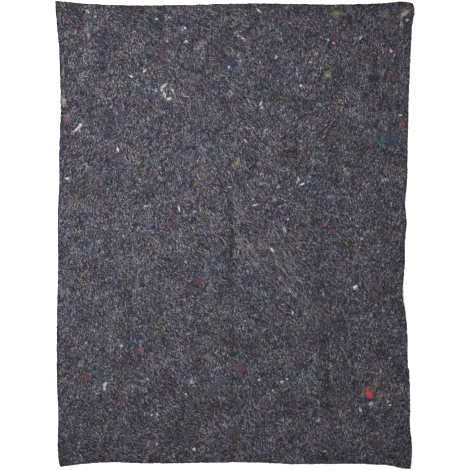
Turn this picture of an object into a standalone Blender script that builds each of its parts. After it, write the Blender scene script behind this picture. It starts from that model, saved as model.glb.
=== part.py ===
"""A moving blanket: one panel of grey recycled felt, cut square and laid out flat.

The felt has no hem, binding or quilting. Its cut edges wander and its corners are pulled out,
and it keeps the soft creases of the folds in which it was stored. Metres, +Z up, the long side
along Y, the underside on Z = 0, and the origin under the middle of the outline.
"""

from collections import namedtuple

import bmesh
import bpy
import numpy as np

MM = 0.001

CUT_WIDTH = 1.500  # the size that it is cut to, along X
CUT_LENGTH = 2.000  # and along Y
FELT_THICKNESS = 0.003
CONTACT_DEPTH = 0.0006  # where the folds would lift it less than this, it lies on the floor

COLUMNS = 48  # faces across the panel
ROWS = 56  # and along it
CROWDING = 1.6  # how many more faces a storage fold gets, for each one elsewhere
CROWDED_BAND = 0.070  # and how far from the fold they reach

# Each edge runs from corner to corner. A row gives a place along it, from the middle of the
# panel, and how far the cut lies outside the nominal rectangle there. Both are in millimetres.
EdgePoint = namedtuple("EdgePoint", "along out")
TOP_EDGE = [
    EdgePoint(-766, 11),
    EdgePoint(-720, 7),
    EdgePoint(-645, 0),
    EdgePoint(-470, -8),
    EdgePoint(-260, -8),
    EdgePoint(-60, -3),
    EdgePoint(90, 0),
    EdgePoint(300, -3),
    EdgePoint(430, -5),
    EdgePoint(600, -2),
    EdgePoint(700, 4),
    EdgePoint(745, 8),
    EdgePoint(786, 0),
]
BOTTOM_EDGE = [
    EdgePoint(-743, 12),
    EdgePoint(-700, 6),
    EdgePoint(-610, -4),
    EdgePoint(-510, -8),
    EdgePoint(-400, -4),
    EdgePoint(-230, -4),
    EdgePoint(90, -8),
    EdgePoint(270, 0),
    EdgePoint(450, -1),
    EdgePoint(610, 1),
    EdgePoint(690, 7),
    EdgePoint(740, 18),
    EdgePoint(777, 20),
]
LEFT_EDGE = [
    EdgePoint(-1012, -7),
    EdgePoint(-980, 1),
    EdgePoint(-930, 4),
    EdgePoint(-775, 3),
    EdgePoint(-650, 8),
    EdgePoint(-400, 9),
    EdgePoint(-150, 4),
    EdgePoint(130, 3),
    EdgePoint(200, -1),
    EdgePoint(360, -1),
    EdgePoint(520, -7),
    EdgePoint(710, -4),
    EdgePoint(830, 1),
    EdgePoint(910, 10),
    EdgePoint(1011, 16),
]
RIGHT_EDGE = [
    EdgePoint(-1020, 27),
    EdgePoint(-985, 31),
    EdgePoint(-910, 32),
    EdgePoint(-850, 25),
    EdgePoint(-730, 25),
    EdgePoint(-540, 14),
    EdgePoint(-420, 12),
    EdgePoint(-340, 5),
    EdgePoint(-270, -7),
    EdgePoint(-200, -4),
    EdgePoint(-140, 1),
    EdgePoint(-30, 3),
    EdgePoint(50, 9),
    EdgePoint(125, 3),
    EdgePoint(205, 10),
    EdgePoint(360, 14),
    EdgePoint(560, 18),
    EdgePoint(800, 28),
    EdgePoint(910, 34),
    EdgePoint(975, 43),
    EdgePoint(1000, 36),
]

# A crease runs straight between two points. At a valley the felt lies down along the line and
# stands up on both sides of it, highest at the spread. At a ridge it stands up along the line.
# All are in millimetres. A crease that reaches an edge runs on past it.
Crease = namedtuple("Crease", "from_x from_y to_x to_y lift spread")
VALLEYS = [
    Crease(-62, 960, -4, 150, lift=3, spread=55),  # the storage fold down the middle
    Crease(-4, 260, 16, -1200, lift=6, spread=45),
    Crease(-440, 0, -440, -720, lift=4, spread=45),  # the quarter folds
    Crease(377, -150, 428, -900, lift=4, spread=45),
    Crease(-900, 165, -90, 165, lift=4, spread=45),  # the cross folds
    Crease(-900, -148, -270, -148, lift=3, spread=45),
    Crease(-309, 1200, -309, 700, lift=3, spread=50),  # waves that run in from the top
    Crease(-535, 700, -535, 180, lift=3, spread=50),
    Crease(624, 1200, 624, 400, lift=3, spread=60),
]
RIDGES = [
    Crease(225, 90, 270, -360, lift=3, spread=35),
    Crease(960, -262, 520, -285, lift=7, spread=45),  # where the right edge is drawn in
]
CREASE_FADE = 0.220  # a crease dies out over this length at each end
CREASE_ROUNDING = 0.008  # the line of a valley is rounded over this width

# Where the storage folds cross the panel, in millimetres: the faces are closer together there.
FOLDS_ACROSS = [-440, 0, 400]
FOLDS_ALONG = [-262, -148, 165]

FELT_COLOUR = (0.080, 0.077, 0.092, 1.0)
FELT_ROUGHNESS = 0.95


def clear_scene():
    """Remove whatever the scene holds."""
    for thing in list(bpy.data.objects):
        bpy.data.objects.remove(thing, do_unlink=True)


def felt_material():
    """Dark grey felt, matt all over."""
    material = bpy.data.materials.new("recycled_felt")
    material.use_nodes = True
    shader = material.node_tree.nodes["Principled BSDF"]
    shader.inputs["Base Color"].default_value = FELT_COLOUR
    shader.inputs["Roughness"].default_value = FELT_ROUGHNESS
    shader.inputs["Metallic"].default_value = 0.0
    material.diffuse_color = FELT_COLOUR
    return material


def crowded(share, folds, length):
    """Shares of a side, 0 to 1, moved closer together at its folds.

    The density is 1, and rises by CROWDING at each fold as a bell curve. The moved share is the
    place where the running sum of the density reaches the share that was asked for.
    """
    fine = np.linspace(0, 1, 2001)
    place = (fine - 0.5) * length
    density = np.ones_like(fine)
    for fold in folds:
        density += CROWDING * np.exp(-(((place - fold * MM) / CROWDED_BAND) ** 2))
    total = np.concatenate([[0], np.cumsum((density[1:] + density[:-1]) / 2)])
    return np.interp(share, total / total[-1], fine)


def edge_line(rows, share):
    """Along and out, in metres, at each share of an edge's length.

    Cubic Hermite pieces through the rows. A row's tangent is the slope through its neighbours.
    """
    along, out = np.array(rows, float).T * MM
    slope = np.gradient(out, along)
    place = along[0] + (along[-1] - along[0]) * share
    piece = np.clip(np.searchsorted(along, place) - 1, 0, len(rows) - 2)
    step = along[piece + 1] - along[piece]
    t = (place - along[piece]) / step
    start = (1 + 2 * t) * (1 - t) ** 2 * out[piece] + t * (1 - t) ** 2 * step * slope[piece]
    end = t**2 * (3 - 2 * t) * out[piece + 1] - t**2 * (1 - t) * step * slope[piece + 1]
    return place, start + end


def panel_outline(u, v):
    """The panel's plan: the patch that fills the four cut edges, at each share u across and v along.

    It is the blend of left and right, plus the blend of bottom and top, less the blend of the
    four corners, which both of them hold.
    """
    half_width, half_length = CUT_WIDTH / 2, CUT_LENGTH / 2

    def bottom(share):
        along, out = edge_line(BOTTOM_EDGE, share)
        return np.column_stack([along, -half_length - out])

    def top(share):
        along, out = edge_line(TOP_EDGE, share)
        return np.column_stack([along, half_length + out])

    def left(share):
        along, out = edge_line(LEFT_EDGE, share)
        return np.column_stack([-half_width - out, along])

    def right(share):
        along, out = edge_line(RIGHT_EDGE, share)
        return np.column_stack([half_width + out, along])

    across, up = u[:, None], v[:, None]
    first, last = np.zeros(1), np.ones(1)
    sides = (1 - across) * left(v) + across * right(v)
    ends = (1 - up) * bottom(u) + up * top(u)
    corners = (1 - across) * ((1 - up) * bottom(first) + up * top(first))
    corners += across * ((1 - up) * bottom(last) + up * top(last))
    return sides + ends - corners


def distance_and_strength(points, crease):
    """How far each point lies from a crease's line, and how strong the crease is beside it.

    The strength rises as a smooth step over CREASE_FADE from each end.
    """
    start = np.array([crease.from_x, crease.from_y]) * MM
    run = np.array([crease.to_x, crease.to_y]) * MM - start
    length = np.linalg.norm(run)
    ahead = (points - start) @ run / length
    on_line = np.clip(ahead, 0, length)
    distance = np.linalg.norm(points - start - on_line[:, None] * run / length, axis=1)
    from_end = np.clip(np.minimum(ahead, length - ahead) / CREASE_FADE, 0, 1)
    return distance, from_end**2 * (3 - 2 * from_end)


def underside_height(points):
    """How far the felt stands off the floor at each point of its plan.

    A valley adds r e^((1 - r^2) / 2) and a ridge adds e^(-r^2), with r the distance over the
    spread. What stays under CONTACT_DEPTH lies flat.
    """
    height = np.zeros(len(points))
    for crease in VALLEYS:
        distance, strength = distance_and_strength(points, crease)
        rounded = np.sqrt(distance**2 + CREASE_ROUNDING**2) - CREASE_ROUNDING
        r = rounded / (crease.spread * MM)
        height += crease.lift * MM * strength * r * np.exp((1 - r**2) / 2)
    for crease in RIDGES:
        distance, strength = distance_and_strength(points, crease)
        r = distance / (crease.spread * MM)
        height += crease.lift * MM * strength * np.exp(-(r**2))
    return np.maximum(height - CONTACT_DEPTH, 0)


def felt_panel():
    """The panel: a grid moved into the outline, lifted by the creases and given its thickness."""
    surface = bmesh.new()
    bmesh.ops.create_grid(surface, x_segments=COLUMNS, y_segments=ROWS, size=0.5)
    shares = np.array([vertex.co[:2] for vertex in surface.verts]) + 0.5
    u = crowded(shares[:, 0], FOLDS_ACROSS, CUT_WIDTH)
    v = crowded(shares[:, 1], FOLDS_ALONG, CUT_LENGTH)
    plan = panel_outline(u, v)
    height = underside_height(plan)
    middle = (plan.min(axis=0) + plan.max(axis=0)) / 2
    for vertex, (x, y), z in zip(surface.verts, plan - middle, height):
        vertex.co = (x, y, z)

    raised = bmesh.ops.extrude_face_region(surface, geom=surface.faces[:])
    upper = [item for item in raised["geom"] if isinstance(item, bmesh.types.BMVert)]
    bmesh.ops.translate(surface, verts=upper, vec=(0, 0, FELT_THICKNESS))
    bmesh.ops.recalc_face_normals(surface, faces=surface.faces[:])

    mesh = bpy.data.meshes.new("felt_panel")
    surface.to_mesh(mesh)
    surface.free()
    mesh.materials.append(felt_material())
    panel = bpy.data.objects.new("felt_panel", mesh)
    bpy.context.collection.objects.link(panel)
    return panel


clear_scene()
felt_panel()
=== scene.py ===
"""A moving blanket of grey recycled felt, laid out flat and seen from above.

The sections follow the making: the needled panel, the fibres that lie on its faces, the bits of
coloured yarn that the shredder left whole, one scrap of red jersey, the white lint, the fuzz of
the cut, then floor, light and camera. Lengths are in metres, and in millimetres in the tables.
The long side is along Y.
"""

from collections import namedtuple

import bpy
import numpy as np
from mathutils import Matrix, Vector


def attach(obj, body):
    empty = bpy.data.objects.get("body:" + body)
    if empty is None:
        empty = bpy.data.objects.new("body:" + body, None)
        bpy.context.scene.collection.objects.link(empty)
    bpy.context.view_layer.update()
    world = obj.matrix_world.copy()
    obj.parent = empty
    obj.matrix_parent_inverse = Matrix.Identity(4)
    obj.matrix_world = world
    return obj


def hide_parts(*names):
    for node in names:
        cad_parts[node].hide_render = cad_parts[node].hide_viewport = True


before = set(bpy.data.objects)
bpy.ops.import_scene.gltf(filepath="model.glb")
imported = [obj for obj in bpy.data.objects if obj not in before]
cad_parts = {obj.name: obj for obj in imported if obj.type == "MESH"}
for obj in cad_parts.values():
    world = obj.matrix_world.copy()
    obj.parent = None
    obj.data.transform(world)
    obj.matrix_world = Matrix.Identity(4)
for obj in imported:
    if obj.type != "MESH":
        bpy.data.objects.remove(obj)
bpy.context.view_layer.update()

# ---------------------------------------------------------------------------------------------
# The felt panel. The real one is shredded clothing, carded into a web and needled into a sheet
# 3 mm thick. It is cut from the roll with no hem, so its edges wander and its corners pull out,
# and it keeps the soft creases of the folds in which it was stored.

MM = 0.001
CUT_WIDTH = 1.500
CUT_LENGTH = 2.000
FELT_THICKNESS = 0.003
CONTACT_DEPTH = 0.0006  # where the creases would lift it less than this, it lies on the floor

# Each edge runs from corner to corner: a place along it, and how far the cut lies outside the
# nominal rectangle there, in millimetres from the panel's middle.
EdgePoint = namedtuple("EdgePoint", "along out")
TOP_EDGE = [
    EdgePoint(-766, 11),
    EdgePoint(-720, 7),
    EdgePoint(-645, 0),
    EdgePoint(-470, -8),
    EdgePoint(-260, -8),
    EdgePoint(-60, -3),
    EdgePoint(90, 0),
    EdgePoint(300, -3),
    EdgePoint(430, -5),
    EdgePoint(600, -2),
    EdgePoint(700, 4),
    EdgePoint(745, 8),
    EdgePoint(786, 0),
]
BOTTOM_EDGE = [
    EdgePoint(-743, 12),
    EdgePoint(-700, 6),
    EdgePoint(-610, -4),
    EdgePoint(-510, -8),
    EdgePoint(-400, -4),
    EdgePoint(-230, -4),
    EdgePoint(90, -8),
    EdgePoint(270, 0),
    EdgePoint(450, -1),
    EdgePoint(610, 1),
    EdgePoint(690, 7),
    EdgePoint(740, 18),
    EdgePoint(777, 20),
]
LEFT_EDGE = [
    EdgePoint(-1012, -7),
    EdgePoint(-980, 1),
    EdgePoint(-930, 4),
    EdgePoint(-775, 3),
    EdgePoint(-650, 8),
    EdgePoint(-400, 9),
    EdgePoint(-150, 4),
    EdgePoint(130, 3),
    EdgePoint(200, -1),
    EdgePoint(360, -1),
    EdgePoint(520, -7),
    EdgePoint(710, -4),
    EdgePoint(830, 1),
    EdgePoint(910, 10),
    EdgePoint(1011, 16),
]
RIGHT_EDGE = [
    EdgePoint(-1020, 27),
    EdgePoint(-985, 31),
    EdgePoint(-910, 32),
    EdgePoint(-850, 25),
    EdgePoint(-730, 25),
    EdgePoint(-604, 21),
    EdgePoint(-594, 20.5),  # a nick, where the blade was set down again
    EdgePoint(-581, 15),
    EdgePoint(-570, 14.8),
    EdgePoint(-540, 14),
    EdgePoint(-420, 12),
    EdgePoint(-340, 5),
    EdgePoint(-270, -7),
    EdgePoint(-200, -4),
    EdgePoint(-140, 1),
    EdgePoint(-30, 3),
    EdgePoint(50, 9),
    EdgePoint(125, 3),
    EdgePoint(205, 10),
    EdgePoint(360, 14),
    EdgePoint(560, 18),
    EdgePoint(800, 28),
    EdgePoint(910, 34),
    EdgePoint(975, 43),
    EdgePoint(1000, 36),
]

# A crease runs straight between two points. At a valley the felt lies down along the line and
# stands up on both sides of it, highest at the spread. At a ridge it stands up along the line.
Crease = namedtuple("Crease", "from_x from_y to_x to_y lift spread")
VALLEYS = [
    Crease(-62, 960, -4, 150, lift=3, spread=55),  # the storage fold down the middle
    Crease(-4, 260, 16, -1200, lift=6, spread=45),
    Crease(-440, 0, -440, -720, lift=4, spread=45),  # the quarter folds
    Crease(377, -150, 428, -900, lift=4, spread=45),
    Crease(-900, 165, -90, 165, lift=4, spread=45),  # the cross folds
    Crease(-900, -148, -270, -148, lift=3, spread=45),
    Crease(-309, 1200, -309, 700, lift=3, spread=50),  # waves that run in from the top
    Crease(-535, 700, -535, 180, lift=3, spread=50),
    Crease(624, 1200, 624, 400, lift=3, spread=60),
]
RIDGES = [
    Crease(225, 90, 270, -360, lift=3, spread=35),
    Crease(960, -262, 520, -285, lift=7, spread=45),  # where the right edge is drawn in
]
# Painted shade along folds that have flattened out again, and along bands at the top and right
# edges. They have no lift: it only says how dark they are, and the spread how wide.
SHADE_LINES = [
    Crease(352, 330, 392, -300, lift=4, spread=9),
    Crease(396, -60, 420, -960, lift=3, spread=26),
    Crease(-760, 512, 390, 512, lift=2.5, spread=9),
    Crease(-330, -480, 300, -470, lift=3, spread=9),
    Crease(330, -300, 900, -300, lift=4, spread=9),
    Crease(-900, 186, -60, 186, lift=2.5, spread=9),
    # the last four: painted shade along the top and the right edge
    Crease(-960, 1004, 1000, 996, lift=2.5, spread=55),
    Crease(40, 1010, 1200, 1000, lift=2, spread=70),
    Crease(758, -420, 752, 120, lift=3, spread=30),
    Crease(768, 20, 780, 640, lift=3, spread=18),
]
CREASE_FADE = 0.220  # a crease dies out over this length at each end
CREASE_ROUNDING = 0.008  # the line of a valley is rounded over this width
CREASE_SHADE_WIDTH = 0.009  # the painted shade of a valley reaches so far from its line
SHADE_WANDER = 0.002  # a line of painted shade strays by so much
HARDEST_LIFT = 6  # the lift of the hardest fold, in the table's millimetres
BROAD_LUMPS = 0.00030  # how far the web's lumps of 60 to 200 mm stand out of the face
SMALL_LUMPS = 0.00026  # and its lumps of 20 to 50 mm


def edge_line(rows, share):
    """Along and out, in metres, at each share of an edge's length.

    Cubic Hermite pieces through the rows. A row's tangent is the slope through its neighbours.
    """
    along, out = np.array(rows, float).T * MM
    slope = np.gradient(out, along)
    place = along[0] + (along[-1] - along[0]) * share
    piece = np.clip(np.searchsorted(along, place) - 1, 0, len(rows) - 2)
    step = along[piece + 1] - along[piece]
    t = (place - along[piece]) / step
    start = (1 + 2 * t) * (1 - t) ** 2 * out[piece] + t * (1 - t) ** 2 * step * slope[piece]
    end = t**2 * (3 - 2 * t) * out[piece + 1] - t**2 * (1 - t) * step * slope[piece + 1]
    return place, start + end


def cut_edges(share):
    """The left, right, bottom and top cut lines as points, at each share of their length."""
    half_width, half_length = CUT_WIDTH / 2, CUT_LENGTH / 2
    up, out_left = edge_line(LEFT_EDGE, share)
    also_up, out_right = edge_line(RIGHT_EDGE, share)
    across, out_bottom = edge_line(BOTTOM_EDGE, share)
    also_across, out_top = edge_line(TOP_EDGE, share)
    left = np.stack([-half_width - out_left, up], axis=-1)
    right = np.stack([half_width + out_right, also_up], axis=-1)
    bottom = np.stack([across, -half_length - out_bottom], axis=-1)
    top = np.stack([also_across, half_length + out_top], axis=-1)
    return left, right, bottom, top


FINE_SHARES = np.linspace(0, 1, 4001)
BOX_MIDDLE = (
    np.concatenate(cut_edges(FINE_SHARES)).min(axis=0)
    + np.concatenate(cut_edges(FINE_SHARES)).max(axis=0)
) / 2


def panel_plan(u, v):
    """The panel's plan at each share u across and v along, as (x, y) about the outline's middle.

    The patch that fills the four cut lines: the blend of left and right, plus the blend of
    bottom and top, less the blend of the four corners, which both of them hold.
    """
    left, right, _, _ = cut_edges(v)
    _, _, bottom, top = cut_edges(u)
    corner_left, corner_right, _, _ = cut_edges(np.array([0.0, 1.0]))
    across, up = u[..., None], v[..., None]
    sides = (1 - across) * left + across * right
    ends = (1 - up) * bottom + up * top
    corners = (1 - across) * ((1 - up) * corner_left[0] + up * corner_left[1])
    corners = corners + across * ((1 - up) * corner_right[0] + up * corner_right[1])
    return sides + ends - corners - BOX_MIDDLE


def distance_and_strength(points, crease):
    """How far each point lies from a crease's line, and how strong the crease is beside it.

    The strength rises as a smooth step over CREASE_FADE from each end.
    """
    start = np.array([crease.from_x, crease.from_y]) * MM - BOX_MIDDLE
    run = np.array([crease.to_x - crease.from_x, crease.to_y - crease.from_y]) * MM
    length = np.linalg.norm(run)
    ahead = (points - start) @ run / length
    on_line = np.clip(ahead, 0, length)
    distance = np.linalg.norm(points - start - on_line[..., None] * run / length, axis=-1)
    from_end = np.clip(np.minimum(ahead, length - ahead) / CREASE_FADE, 0, 1)
    return distance, from_end**2 * (3 - 2 * from_end)


def crease_height(points):
    """How far the creases lift the felt off the floor, by the same rule as the solid's.

    A valley adds r e^((1 - r^2) / 2) and a ridge adds e^(-r^2), with r the distance over the
    spread. What stays under CONTACT_DEPTH lies flat.
    """
    height = np.zeros(points.shape[:-1])
    for crease in VALLEYS:
        distance, strength = distance_and_strength(points, crease)
        rounded = np.sqrt(distance**2 + CREASE_ROUNDING**2) - CREASE_ROUNDING
        r = rounded / (crease.spread * MM)
        height += crease.lift * MM * strength * r * np.exp((1 - r**2) / 2)
    for crease in RIDGES:
        distance, strength = distance_and_strength(points, crease)
        r = distance / (crease.spread * MM)
        height += crease.lift * MM * strength * np.exp(-(r**2))
    return np.maximum(height - CONTACT_DEPTH, 0)


def lumps(points, shortest, longest, count, seed):
    """An even lumpy field of spread 1: a sum of waves of random direction, length and phase."""
    chance = np.random.default_rng(seed)
    length = shortest * (longest / shortest) ** chance.random(count)
    heading = chance.random(count) * 2 * np.pi
    phase = chance.random(count) * 2 * np.pi
    field = np.zeros(points.shape[:-1])
    for one_length, one_heading, one_phase in zip(length, heading, phase):
        ahead = points[..., 0] * np.cos(one_heading) + points[..., 1] * np.sin(one_heading)
        field += np.sin(2 * np.pi * ahead / one_length + one_phase)
    return field * np.sqrt(2 / count)


def painted_line_shade(points):
    """Painted shade along lines: each adds its strength times e^(-(distance / width)^2).

    The hardest fold adds 1. The lines stray by SHADE_WANDER and come and go, as a crease in
    felt does.
    """
    wander = [lumps(points, 0.120, 0.500, count=10, seed=seed) for seed in (13, 14)]
    wandered = points + SHADE_WANDER * np.stack(wander, axis=-1)
    lines = [(crease, CREASE_SHADE_WIDTH) for crease in VALLEYS]
    lines += [(crease, crease.spread * MM) for crease in SHADE_LINES]
    line_shade = np.zeros(points.shape[:-1])
    for crease, width in lines:
        distance, strength = distance_and_strength(wandered, crease)
        line_shade += strength * crease.lift / HARDEST_LIFT * np.exp(-((distance / width) ** 2))
    coming_and_going = 0.90 + 0.25 * lumps(points, 0.060, 0.300, count=14, seed=15)
    return line_shade * np.clip(coming_and_going, 0, 1.4)


def cut_distance(points):
    """How far each point lies inside the nearest cut line, measured square across or along."""
    half = np.array([CUT_WIDTH, CUT_LENGTH]) / 2
    x, y = np.moveaxis(points + BOX_MIDDLE, -1, 0)
    distance = np.full(x.shape, 1.0)
    for rows, place, depth in [
        (LEFT_EDGE, y, x + half[0]),
        (RIGHT_EDGE, y, half[0] - x),
        (BOTTOM_EDGE, x, y + half[1]),
        (TOP_EDGE, x, half[1] - y),
    ]:
        first, last = rows[0].along * MM, rows[-1].along * MM
        share = np.clip((place - first) / (last - first), 0, 1)
        distance = np.minimum(distance, depth + edge_line(rows, share)[1])
    return distance


def face_height(points):
    """The height of the upper face: the creases, the thickness, and the lumps of the web."""
    broad = lumps(points, 0.060, 0.200, count=24, seed=11)
    small = lumps(points, 0.020, 0.050, count=40, seed=12)
    return crease_height(points) + FELT_THICKNESS + BROAD_LUMPS * broad + SMALL_LUMPS * small


# The lay of the web: carding and folding have combed its fibres one way here and another there.
# A row gives a place in millimetres from the outline's middle, and the fibres' lean there.
Lay = namedtuple("Lay", "x y lean")
WEB_LAY = [
    Lay(-690, 900, -72),
    Lay(-360, 910, -50),
    Lay(-20, 900, -60),
    Lay(330, 900, -85),
    Lay(640, 880, 67),
    Lay(-620, 660, 82),
    Lay(-260, 690, -84),
    Lay(10, 640, -58),
    Lay(220, 720, 88),
    Lay(560, 640, -72),
    Lay(-680, 320, 60),
    Lay(-440, 320, 74),
    Lay(-180, 380, -78),
    Lay(40, 260, -68),
    Lay(360, 410, 58),
    Lay(640, 330, 88),
    Lay(-690, 60, 89),
    Lay(-400, 60, -77),
    Lay(-140, 40, -54),
    Lay(160, -30, -54),
    Lay(380, -60, -53),
    Lay(690, 0, 88),
    Lay(-680, -230, -68),
    Lay(-480, -260, -82),
    Lay(-230, -260, -53),
    Lay(90, -250, -54),
    Lay(360, -330, -54),
    Lay(580, -300, -85),
    Lay(-660, -560, -77),
    Lay(-300, -560, -57),
    Lay(20, -580, -80),
    Lay(240, -480, -67),
    Lay(620, -620, -88),
    Lay(-640, -770, -70),
    Lay(-620, -940, -33),
    Lay(-180, -900, -42),
    Lay(40, -800, -75),
    Lay(330, -860, -70),
    Lay(690, -780, 74),
]
LAY_REACH = 0.120  # a row tells for the web so far around its place
LAY_SWING = np.radians(14)  # and the lean swings by so much from swirl to swirl


def web_lay(points):
    """How the fibres lie about each point, as (cos 2a, sin 2a) with a their lean.

    The rows' own values are averaged by weights of e^(-(distance / LAY_REACH)^2) and brought back
    to length 1. Then they are turned by LAY_SWING times a lumpy field.
    """
    place = np.array([[row.x, row.y] for row in WEB_LAY]) * MM
    double = 2 * np.radians([row.lean for row in WEB_LAY])
    distance = np.linalg.norm(points[..., None, :] - place, axis=-1)
    weight = np.exp(-((distance / LAY_REACH) ** 2)) + 1e-9
    lay = weight @ np.stack([np.cos(double), np.sin(double)], axis=-1)
    lay = lay / np.linalg.norm(lay, axis=-1, keepdims=True)
    swing = 2 * LAY_SWING * lumps(points, 0.060, 0.250, count=16, seed=17)
    turned = np.stack([-lay[..., 1], lay[..., 0]], axis=-1)
    return lay * np.cos(swing)[..., None] + turned * np.sin(swing)[..., None]


COLUMNS, ROWS = 180, 240  # even steps across and along, to which the rounded rim adds a few
RIM_STEPS = np.array([0.0, 0.25, 0.7, 1.4, 2.4, 4.0]) * MM  # from the cut, for its rounding
RIM_ROUNDING = 0.0022
CUT_WAVER = 0.0008  # the blade swings to and fro by so much
CUT_WAVER_REACH = 0.012  # and the felt follows it so far in from the cut
MAP_HEIGHT = 0.985  # a face fills so much of the UV map's height
MAP_MARGIN = 0.0075  # and leaves so much below it and above it


def rim_stations(count, length):
    """Shares of a side, 0 to 1: even steps between two rims of a few close ones."""
    inner = np.linspace(RIM_STEPS[-1], length - RIM_STEPS[-1], count)
    return np.concatenate([RIM_STEPS[:-1], inner, length - RIM_STEPS[-2::-1]]) / length


def rim_fullness(share, length):
    """How full the sheet is, 0 at the cut and 1 inside: a quarter circle over RIM_ROUNDING."""
    inward = np.minimum(share, 1 - share) * length / RIM_ROUNDING
    return np.sqrt(1 - (1 - np.clip(inward, 0, 1)) ** 2)


def quads_of_grid(ids):
    """The four corners of every cell of a grid of point numbers, in turn."""
    corners = [ids[:-1, :-1], ids[:-1, 1:], ids[1:, 1:], ids[1:, :-1]]
    return np.stack(corners, axis=-1).reshape(-1, 4)


def new_piece(name, points, faces, uv=None, numbers=None):
    """A smooth mesh object at the origin, with a UV map and named numbers on its points.

    The faces come as arrays of point numbers, each array with faces of one size.
    """
    corners = np.concatenate([group.ravel() for group in faces]).astype(np.int32)
    sizes = np.concatenate([np.full(len(group), group.shape[1]) for group in faces])
    mesh = bpy.data.meshes.new(name)
    mesh.vertices.add(len(points))
    mesh.vertices.foreach_set("co", np.asarray(points, np.float32).ravel())
    mesh.loops.add(len(corners))
    mesh.loops.foreach_set("vertex_index", corners)
    mesh.polygons.add(len(sizes))
    mesh.polygons.foreach_set("loop_start", (np.cumsum(sizes) - sizes).astype(np.int32))
    mesh.update(calc_edges=True)
    mesh.shade_smooth()
    if uv is not None:
        layer = mesh.uv_layers.new(name="OFBake")
        layer.uv.foreach_set("vector", np.asarray(uv, np.float32).ravel())
    for number_name, values in (numbers or {}).items():
        attribute = mesh.attributes.new(number_name, "FLOAT", "POINT")
        attribute.data.foreach_set("value", np.asarray(values, np.float32).ravel())
    piece = bpy.data.objects.new(name, mesh)
    bpy.context.collection.objects.link(piece)
    return piece


def map_corners(u, v, faces, start, width):
    """Every face's corners on a strip of the UV map, which begins at the start and is so wide."""
    strip = np.dstack([u * width + start, v * MAP_HEIGHT + MAP_MARGIN])
    return strip.reshape(-1, 2)[faces]


def closed_sheet(name, u, v, plan, upper, lower, fullness, numbers):
    """A closed piece of two faces on one grid of plan points, which share the points of the rim.

    Both heights are drawn to their mean by the fullness, which is 0 at the rim. The upper face
    takes three quarters of the UV map, and the lower face the strip beside it.
    """
    middle = (upper + lower) / 2
    upper = middle + (upper - middle) * fullness
    lower = middle + (lower - middle) * fullness
    upper_ids = np.arange(u.size).reshape(u.shape)
    lower_ids = upper_ids.copy()
    inner_shape = (u.shape[0] - 2, u.shape[1] - 2)
    lower_ids[1:-1, 1:-1] = u.size + np.arange(inner_shape[0] * inner_shape[1]).reshape(inner_shape)
    upper_points = np.dstack([plan, upper]).reshape(-1, 3)
    lower_points = np.dstack([plan, lower])[1:-1, 1:-1].reshape(-1, 3)
    points = np.concatenate([upper_points, lower_points])
    upper_quads = quads_of_grid(upper_ids)
    quads = np.concatenate([upper_quads, quads_of_grid(lower_ids)[:, ::-1]])

    upper_corners = map_corners(u, v, upper_quads, start=0.005, width=0.740)
    lower_corners = map_corners(u, v, upper_quads[:, ::-1], start=0.755, width=0.240)
    uv = np.concatenate([upper_corners, lower_corners]).reshape(-1, 2)

    both = {
        key: np.concatenate([grid.ravel(), grid[1:-1, 1:-1].ravel()])
        for key, grid in numbers.items()
    }
    return new_piece(name, points, [quads], uv, both)


def felt_sheet():
    """The panel: its plan with a wavering cut, between the upper and the lower face.

    Each cut line is moved outwards and back by CUT_WAVER times a lumpy field, and what lies
    inside it by e^(-distance / CUT_WAVER_REACH) of that.
    """
    u, v = np.meshgrid(rim_stations(COLUMNS, CUT_WIDTH), rim_stations(ROWS, CUT_LENGTH))
    plan = panel_plan(u, v)
    waver = lumps(plan, 0.012, 0.050, count=30, seed=21)
    for axis, share, length in [(0, u, CUT_WIDTH), (1, v, CUT_LENGTH)]:
        near_cut = np.exp(-np.minimum(share, 1 - share) * length / CUT_WAVER_REACH)
        plan[..., axis] += np.where(share < 0.5, -1, 1) * near_cut * waver * CUT_WAVER
    lay = web_lay(plan)
    numbers = {"inward": cut_distance(plan), "line_shade": painted_line_shade(plan)}
    numbers.update(lay_x=lay[..., 0], lay_y=lay[..., 1])
    return closed_sheet(
        "felt_sheet",
        u,
        v,
        plan,
        face_height(plan),
        crease_height(plan),
        rim_fullness(u, CUT_WIDTH) * rim_fullness(v, CUT_LENGTH),
        numbers,
    )


def set_sockets(tree, node, sockets):
    """Set a node's sockets, by name or number, each to a value, an output or a node's first one."""
    for name, value in sockets.items():
        if isinstance(value, bpy.types.Node):
            value = value.outputs[0]
        if isinstance(value, bpy.types.NodeSocket):
            tree.links.new(value, node.inputs[name])
        else:
            node.inputs[name].default_value = value


def add_node(tree, kind, sockets=None, **settings):
    """A node with its settings and its sockets set."""
    node = tree.nodes.new("ShaderNode" + kind)
    for name, value in settings.items():
        setattr(node, name, value)
    set_sockets(tree, node, sockets or {})
    return node


def add_math(tree, operation, *values, kind="Math"):
    """One operation on its values, or with the kind VectorMath on vectors."""
    return add_node(tree, kind, dict(enumerate(values)), operation=operation)


def add_number(tree, name):
    """The output with one of a piece's named numbers."""
    return add_node(tree, "Attribute", attribute_name=name).outputs["Fac"]


def add_range(tree, value, low, high, to_low, to_high):
    """A value's range low to high mapped to another one, and held at its ends."""
    sockets = {"Value": value, "From Min": low, "From Max": high}
    return add_node(tree, "MapRange", {**sockets, "To Min": to_low, "To Max": to_high})


def add_ramp(tree, factor, stops):
    """A colour ramp through the stops, each a place and a colour."""
    node = add_node(tree, "ValToRGB", {0: factor})
    ramp = node.color_ramp
    while len(ramp.elements) < len(stops):
        ramp.elements.new(0.5)
    for element, (place, colour) in zip(ramp.elements, stops):
        element.position = place
        element.color = (*colour, 1.0)
    return node


def new_material(name):
    """A material with only a Principled shader and its output, then its tree and the shader."""
    material = bpy.data.materials.new(name)
    material.use_nodes = True
    tree = material.node_tree
    return material, tree, tree.nodes["Principled BSDF"]


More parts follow.
